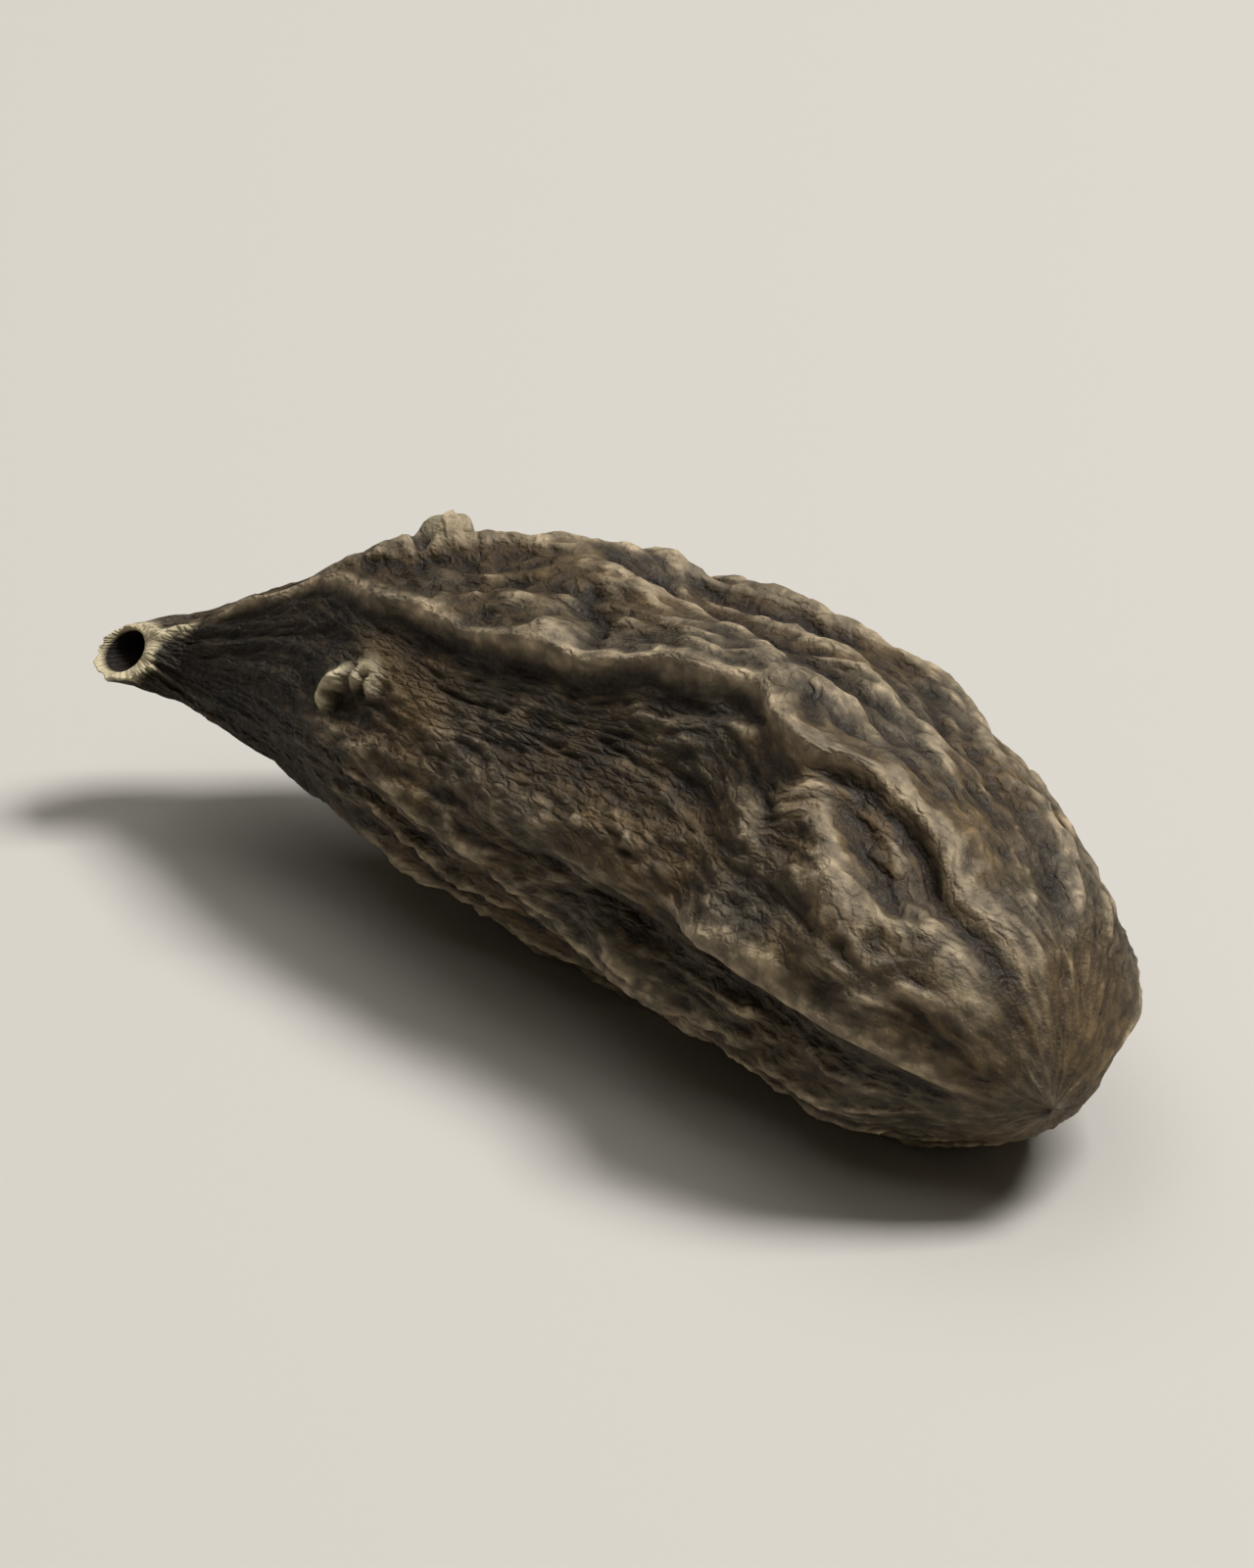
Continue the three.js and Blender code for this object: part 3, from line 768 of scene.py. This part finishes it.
def wrinkled(mesh, material):
    """A plain mesh of the skin with its wrinkles raised and its material set."""
    rough = bpy.data.objects.new("berry_rough", mesh)
    bpy.context.scene.collection.objects.link(rough)
    tree, sockets = wrinkle_tree()
    modifier = rough.modifiers.new("wrinkles", "NODES")
    modifier.node_group = tree
    for layer in WRINKLES:
        for size in WRINKLE_SIZES:
            modifier[sockets[f"{layer['name']} {size}"].identifier] = layer[size]
    modifier[sockets["Skin"].identifier] = material
    depsgraph = bpy.context.evaluated_depsgraph_get()
    finished = bpy.data.meshes.new_from_object(
        rough.evaluated_get(depsgraph), preserve_all_data_layers=True, depsgraph=depsgraph
    )
    bpy.data.objects.remove(rough)
    return finished


def blurred(values, rings, reach):
    """Values on the rings, smoothed over a reach in millimetres round and along the fruit."""
    radius = np.maximum(mean_radius(rings["station"][:, 0]), RIM_RADIUS)
    cells = reach / (2 * math.pi * radius / AROUND)
    waves = np.arange(AROUND // 2 + 1) * 2 * math.pi / AROUND
    spectrum = np.fft.rfft(values, axis=1) * np.exp(-0.5 * (cells[:, None] * waves[None, :]) ** 2)
    smooth = np.fft.irfft(spectrum, n=AROUND, axis=1)
    apart = (rings["along"][:, None] - rings["along"][None, :]) / reach
    weights = np.exp(-0.5 * apart**2)
    return weights @ smooth / weights.sum(1, keepdims=True)


def linear(colour):
    """An sRGB hex colour as linear RGBA."""
    channels = [int(colour[i:i + 2], 16) / 255 for i in (1, 3, 5)]
    return [c / 12.92 if c <= 0.04045 else ((c + 0.055) / 1.055) ** 2.4 for c in channels] + [1.0]


# Colours of the dried skin.
BROWN_GROUND = "#52422a"
GREY_PATCH = "#4d4435"
# Pale crests: partly rubbed, partly a painted highlight.
RUBBED_AND_LIT_CREST = "#9a8a70"
# Painted shade in fine and in deep hollows.
FINE_HOLLOW_SHADE = "#1f1508"
DEEP_HOLLOW_SHADE = "#261b0d"
# The neck and the sunken face: partly dried flesh, partly painted shade.
DRIED_FLESH_AND_SHADE = "#20170a"
# Pale lips along the crests: partly rubbed, partly a painted highlight.
RUBBED_LIT_LIP = "#8f7f66"
BROWN_STAIN = "#6e5836"
CREAM_INSIDE = "#cdbf9c"
# Painted shade down inside the stalk's hollow.
BORE_SHADE = "#1a1108"

# Sizes of its patterns, in millimetres. Streaks and the cells that fine creases part are longer along the
# wrinkles than across, and the creases wander. Real grain is finer than 0.1 mm, too fine to show, so it is
# drawn as coarse as that.
PATCH_SIZE = 4.0
BLOTCH_SIZE = 1.0
FLECK_SIZE = 1.1
FLECK_SEED = 2.0
MOTTLE_SIZE = 0.4
GRAIN_SIZE = 0.1
STREAK_SIZE = (1.1, 0.28, 0.28)
CELL_SIZE = (0.7, 0.26, 0.26)
CELL_WANDER = (0.3, 0.3, 0.3)

# Height of its bump, in millimetres, and the shares of grain and of plump cells beside the mottling's.
BUMP = dict(strength=0.8, height=0.08, grain=0.4, plump=0.6)

# Dry skin shines less than the usual 0.5, and its roughness goes from the first of these to the second.
SPECULAR_LEVEL = 0.35
ROUGHNESS = (0.5, 0.8)

# Sockets of a Mix node that mixes colours, which has more than one input of each name.
FACTOR, FIRST, SECOND, MIXED = 0, 6, 7, 2


def dried_skin():
    """Dried fruit skin, shrunk and air-dried: matte and leathery, with painted shade in the folds and
    creases, and pale along their crests, partly rubbed and partly a painted highlight, with grey and brown
    patches, fine mottling, and cream inner skin where it is torn."""
    material = bpy.data.materials.new("dried_caper_skin")
    material.use_nodes = True
    tree = material.node_tree
    tree.nodes.clear()
    place = add(tree, "ShaderNodeTexCoord").outputs["Object"]
    flow = add(tree, "ShaderNodeAttribute", attribute_name="flow").outputs["Vector"]
    crest, hollow, pale, stain, sunken, bore, neck, rubbed_lit_lip, calm = (
        add(tree, "ShaderNodeAttribute", attribute_name=name).outputs["Fac"] for name in FINISH_VALUES
    )

    patches, blotches, mottle, grain = (
        add(tree, "ShaderNodeTexNoise", {"Vector": place, "Scale": 1 / (size * MM), "Detail": detail})
        for size, detail in ((PATCH_SIZE, 3.0), (BLOTCH_SIZE, 2.0), (MOTTLE_SIZE, 3.0), (GRAIN_SIZE, 2.0))
    )
    flecks = add(
        tree, "ShaderNodeTexNoise",
        {"Vector": place, "Scale": 1 / (FLECK_SIZE * MM), "Detail": 3.0, "W": FLECK_SEED},
        noise_dimensions="4D",
    )
    along = add(tree, "ShaderNodeVectorMath", {0: flow, 1: STREAK_SIZE}, operation="DIVIDE")
    streaks = add(
        tree, "ShaderNodeTexNoise",
        {"Vector": along.outputs[0], "Scale": 1.0, "Detail": 2.0, "Roughness": 0.5, "Distortion": 0.2},
    )
    jitter = add(
        tree, "ShaderNodeVectorMath", {0: mottle.outputs[1], 1: (0.5, 0.5, 0.5)}, operation="SUBTRACT",
    )
    wander = add(
        tree, "ShaderNodeVectorMath",
        {0: jitter.outputs[0], 1: CELL_WANDER, 2: flow}, operation="MULTIPLY_ADD",
    )
    cell = add(tree, "ShaderNodeVectorMath", {0: wander.outputs[0], 1: CELL_SIZE}, operation="DIVIDE")
    creases = add(
        tree, "ShaderNodeTexVoronoi", {"Vector": cell.outputs[0], "Scale": 1.0}, feature="DISTANCE_TO_EDGE",
    )

    # Where the skin is grey, pale on a crest (rubbed, with a painted highlight), in painted shade in a fine
    # or a deep hollow, and plump between two creases.
    grey, rubbed_and_lit, fine, deep_shade, plump = (
        add(
            tree, "ShaderNodeMapRange",
            {"Value": value, "From Min": start, "From Max": full, "To Max": most},
            interpolation_type="SMOOTHSTEP",
        ).outputs[0]
        for value, start, full, most in (
            (patches.outputs[0], 0.4, 0.62, 1.0),
            (crest, 0.1, 1.3, 0.75),
            (crest, 0.0, -1.1, 0.85),
            (hollow, 0.2, -1.0, 0.6),
            (creases.outputs["Distance"], 0.0, 0.25, 1.0),
        )
    )
    # How far each pattern darkens and lightens the skin, the creases with painted shade, how patchy torn skin
    # is, how moist and in painted shade and how flecked the sunken face, and how rough the grain leaves it
    # all.
    streaky, blotchy, mottled, flecked, crease_shade, patchy, moist_and_shaded, fleck_share, roughness = (
        add(
            tree, "ShaderNodeMapRange",
            {"Value": value, "From Min": low, "From Max": high, "To Min": least, "To Max": most},
        ).outputs[0]
        for value, low, high, least, most in (
            (streaks.outputs[0], 0.35, 0.65, 0.66, 1.4),
            (blotches.outputs[0], 0.36, 0.64, 0.76, 1.28),
            (mottle.outputs[0], 0.32, 0.68, 0.72, 1.3),
            (flecks.outputs[0], 0.35, 0.65, 0.35, 1.8),
            (plump, 0.0, 1.0, 0.8, 1.06),
            (mottle.outputs[0], 0.36, 0.6, 0.65, 1.0),
            (sunken, 0.05, 0.7, 0.0, 0.45),
            (sunken, 0.1, 0.7, 0.0, 0.8),
            (grain.outputs[0], 0.3, 0.7, *ROUGHNESS),
        )
    )
    darker = add(tree, "ShaderNodeMath", {0: neck, 1: NECK_DARKER, 2: moist_and_shaded}, operation="MULTIPLY_ADD")
    lively = add(tree, "ShaderNodeMath", {0: 1.0, 1: calm}, operation="SUBTRACT")
    faint = add(tree, "ShaderNodeMath", {0: stain, 1: STAIN["strength"]}, operation="MULTIPLY")
    shown = add(tree, "ShaderNodeMath", {0: pale, 1: patchy}, operation="MULTIPLY")

    # The colour is built up in layers, each with its share: the ground, the crests pale with a painted
    # highlight, painted shade in the hollows, the neck and the sunken face darkened, partly dried flesh that
    # shows through and partly painted shade, the patterns over them, and then the stain, torn skin and
    # painted shade in the stalk's hollow.
    colour = linear(BROWN_GROUND)
    for share, over, blend in (
        (grey, linear(GREY_PATCH), "MIX"),
        (rubbed_and_lit, linear(RUBBED_AND_LIT_CREST), "MIX"),
        (fine, linear(FINE_HOLLOW_SHADE), "MIX"),
        (deep_shade, linear(DEEP_HOLLOW_SHADE), "MIX"),
        (darker.outputs[0], linear(DRIED_FLESH_AND_SHADE), "MIX"),
        (rubbed_lit_lip, linear(RUBBED_LIT_LIP), "MIX"),
        (1.0, streaky, "MULTIPLY"),
        (1.0, blotchy, "MULTIPLY"),
        (1.0, mottled, "MULTIPLY"),
        (fleck_share, flecked, "MULTIPLY"),
        (lively.outputs[0], crease_shade, "MULTIPLY"),
        (faint.outputs[0], linear(BROWN_STAIN), "MIX"),
        (shown.outputs[0], linear(CREAM_INSIDE), "MIX"),
        (bore, linear(BORE_SHADE), "MIX"),
    ):
        layer = add(
            tree, "ShaderNodeMix", {FACTOR: share, FIRST: colour, SECOND: over},
            data_type="RGBA", blend_type=blend,
        )
        colour = layer.outputs[MIXED]

    grainy = add(
        tree, "ShaderNodeMath",
        {0: grain.outputs[0], 1: BUMP["grain"], 2: mottle.outputs[0]}, operation="MULTIPLY_ADD",
    )
    parting = add(tree, "ShaderNodeMath", {0: lively.outputs[0], 1: BUMP["plump"]}, operation="MULTIPLY")
    rise = add(
        tree, "ShaderNodeMath",
        {0: plump, 1: parting.outputs[0], 2: grainy.outputs[0]}, operation="MULTIPLY_ADD",
    )
    bump = add(
        tree, "ShaderNodeBump",
        {"Strength": BUMP["strength"], "Distance": BUMP["height"] * MM, "Height": rise.outputs[0]},
    )
    shader = add(
        tree, "ShaderNodeBsdfPrincipled",
        {
            "Base Color": colour, "Roughness": roughness, "Normal": bump.outputs[0],
            "Specular IOR Level": SPECULAR_LEVEL,
        },
    )
    add(tree, "ShaderNodeOutputMaterial", {"Surface": shader.outputs[0]})
    return material


PAPER = dict(colour="#c6c2ba", roughness=0.9)


def backdrop_paper():
    """Matte backdrop paper: a plain pale ground that throws soft light back."""
    material = bpy.data.materials.new("backdrop_paper")
    material.use_nodes = True
    shader = material.node_tree.nodes["Principled BSDF"]
    shader.inputs["Base Color"].default_value = linear(PAPER["colour"])
    shader.inputs["Roughness"].default_value = PAPER["roughness"]
    return material


def make_berry():
    """The finished berry, which takes the place of the plain solid."""
    rings = skin_rings()
    settle(rings)
    mesh = skin_mesh(rings)
    store(mesh, "flow", flow_of(rings), "FLOAT_VECTOR", "vector")
    strength = (mean_radius(rings["station"]) / GIRTH_RADIUS) ** RELIEF_POWER * (1 - rings["pale"])
    strength = strength * (1 - CREST_SMOOTH * rings["smooth"])
    strength[:rings["inner"]] = 0
    store(mesh, "strength", strength)
    finished = wrinkled(mesh, dried_skin())
    finished.name = "berry_skin"

    count = len(finished.vertices)
    raised = np.zeros(count, np.float32)
    finished.attributes["wrinkle"].data.foreach_get("value", raised)
    relief = rings["relief"] + raised[1:-1].reshape(rings["relief"].shape)
    rings["crest"] = (relief - blurred(relief, rings, FINE["reach"])) / FINE["rise"]
    rings["hollow"] = (relief - blurred(relief, rings, BROAD["reach"])) / BROAD["rise"]
    for name in FINISH_VALUES:
        store(finished, name, rings[name])
    for name in ("strength", "wrinkle"):
        finished.attributes.remove(finished.attributes[name])

    # The wrinkles may not reach through the floor.
    places = np.zeros(count * 3, np.float32)
    finished.vertices.foreach_get("co", places)
    places[2::3] = np.maximum(places[2::3], 0)
    finished.vertices.foreach_set("co", places)
    finished.polygons.foreach_set("use_smooth", np.ones(len(finished.polygons), bool))
    finished.update()

    berry = bpy.data.objects.new("berry_skin", finished)
    bpy.context.scene.collection.objects.link(berry)
    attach(berry, "root")
    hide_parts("berry")


# The photograph's viewing angle, in degrees, its distance, and the width that the view takes in at the
# berry. The picture's size is in pixels, and the lens is given for its long side. The sensor is in
# millimetres, and everything else here in metres.
PICTURE = (1280, 1600)
AZIMUTH, ELEVATION = 34.7, 29.0
CAMERA_DISTANCE = 0.42
VIEW_WIDTH = 0.031
SENSOR = 36.0
CLIP = (0.01, 5.0)

# Square soft lights, with the side's length and the power in watts: the key from the right and a little
# behind, a broad one overhead, and a weak one from the back left. The room is dim, even and a little warm.
LIGHT_DISTANCE = 0.6
LIGHTS = [
    dict(name="key", azimuth=130, elevation=62, size=0.22, power=3.9),
    dict(name="sky", azimuth=0, elevation=78, size=0.5, power=0.55),
    dict(name="fill", azimuth=240, elevation=55, size=0.4, power=0.7),
]
ROOM = dict(colour="#fff1d8", strength=0.07)
FLOOR_HALF = 1.0


def look_at(name, data, middle, azimuth, elevation, distance):
    """Places a camera or a light at an azimuth and an elevation, in degrees, turned towards the berry."""
    azimuth, elevation = math.radians(azimuth), math.radians(elevation)
    level = math.cos(elevation)
    back = Vector((math.sin(azimuth) * level, -math.cos(azimuth) * level, math.sin(elevation)))
    placed = bpy.data.objects.new(name, data)
    placed.location = middle + back * distance
    placed.rotation_mode = "QUATERNION"
    placed.rotation_quaternion = (-back).to_track_quat("-Z", "Y")
    bpy.context.scene.collection.objects.link(placed)
    return placed


def make_camera(middle):
    """The camera, at the photograph's viewing angle and looking at the middle of the berry."""
    data = bpy.data.cameras.new("camera")
    data.sensor_width = SENSOR
    data.lens = SENSOR * CAMERA_DISTANCE / (VIEW_WIDTH * PICTURE[1] / PICTURE[0])
    data.clip_start, data.clip_end = CLIP
    bpy.context.scene.camera = look_at("camera", data, middle, AZIMUTH, ELEVATION, CAMERA_DISTANCE)


def make_studio(middle):
    """A pale floor, three soft lights and a dim even room."""
    floor_mesh = bpy.data.meshes.new("floor")
    corners = [(x * FLOOR_HALF, y * FLOOR_HALF, 0) for x, y in ((-1, -1), (1, -1), (1, 1), (-1, 1))]
    floor_mesh.from_pydata(corners, [], [(0, 1, 2, 3)])
    floor_mesh.materials.append(backdrop_paper())
    floor = bpy.data.objects.new("floor", floor_mesh)
    bpy.context.scene.collection.objects.link(floor)
    for light in LIGHTS:
        data = bpy.data.lights.new(light["name"], "AREA")
        data.size = light["size"]
        data.energy = light["power"]
        look_at(light["name"], data, middle, light["azimuth"], light["elevation"], LIGHT_DISTANCE)
    world = bpy.data.worlds.new("room")
    world.use_nodes = True
    background = world.node_tree.nodes["Background"]
    background.inputs["Color"].default_value = linear(ROOM["colour"])
    background.inputs["Strength"].default_value = ROOM["strength"]
    bpy.context.scene.world = world
    bpy.context.scene.view_settings.view_transform = "Standard"


low, high = cad_bounds
middle = (low + high) / 2
make_camera(middle)
make_berry()
make_studio(middle)
